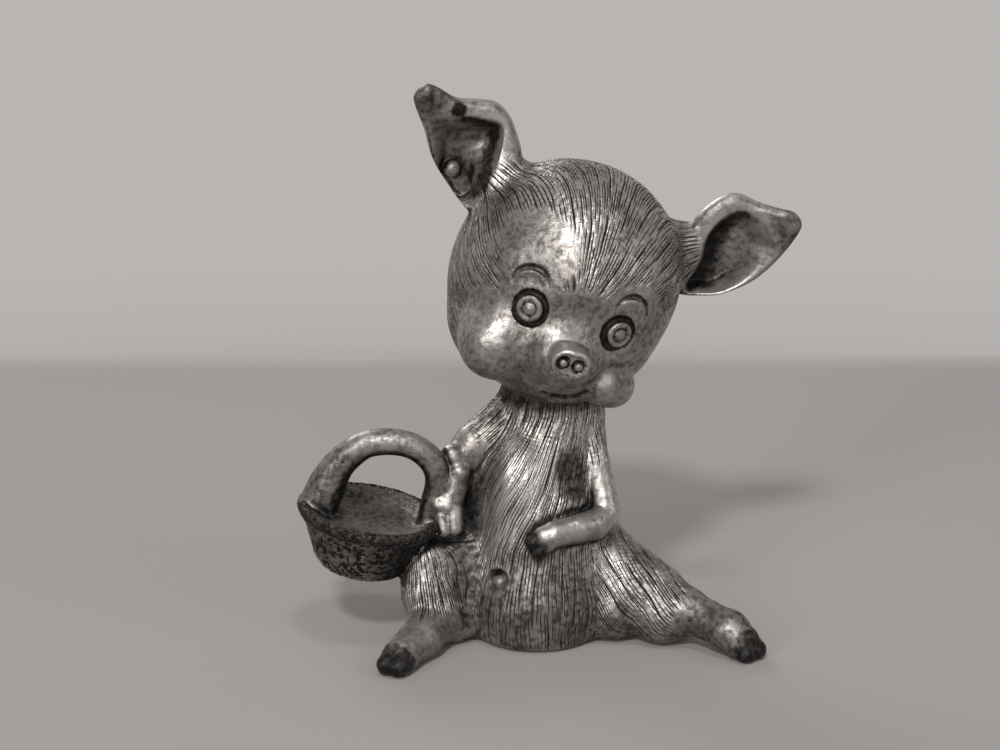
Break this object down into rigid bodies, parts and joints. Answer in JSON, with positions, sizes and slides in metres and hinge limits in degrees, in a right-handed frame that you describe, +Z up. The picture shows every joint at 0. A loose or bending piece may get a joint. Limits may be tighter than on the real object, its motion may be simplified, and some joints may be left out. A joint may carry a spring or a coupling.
{
  "type": "pig figurine",
  "caption": "Small cast pewter ornament: a seated piglet with tilted head and wide ears, one leg splayed out, a round basket with a hoop handle on its arm and knee",
  "frame": {"origin": "middle of the bounding box's footprint, on the surface that the figurine stands on", "axes": "+Z up, -Y is the way the piglet faces, +X is its own left side, with the splayed leg"},
  "size_m": [0.0452, 0.0258, 0.05],
  "materials": {
    "pewter": "antiqued pewter: burnished high spots, dark patina in the engraved hair and hollows",
    "pewter_rough": "dark antiqued pewter with a coarse pitted casting skin"
  },
  "bodies": {
    "root": {"torso": "pewter", "head": "pewter", "left_ear": "pewter", "right_ear": "pewter", "left_arm": "pewter", "right_arm": "pewter", "left_leg": "pewter", "right_leg": "pewter", "tail": "pewter", "basket_bowl": "pewter_rough", "basket_handle": "pewter"}
  },
  "joints": []
}
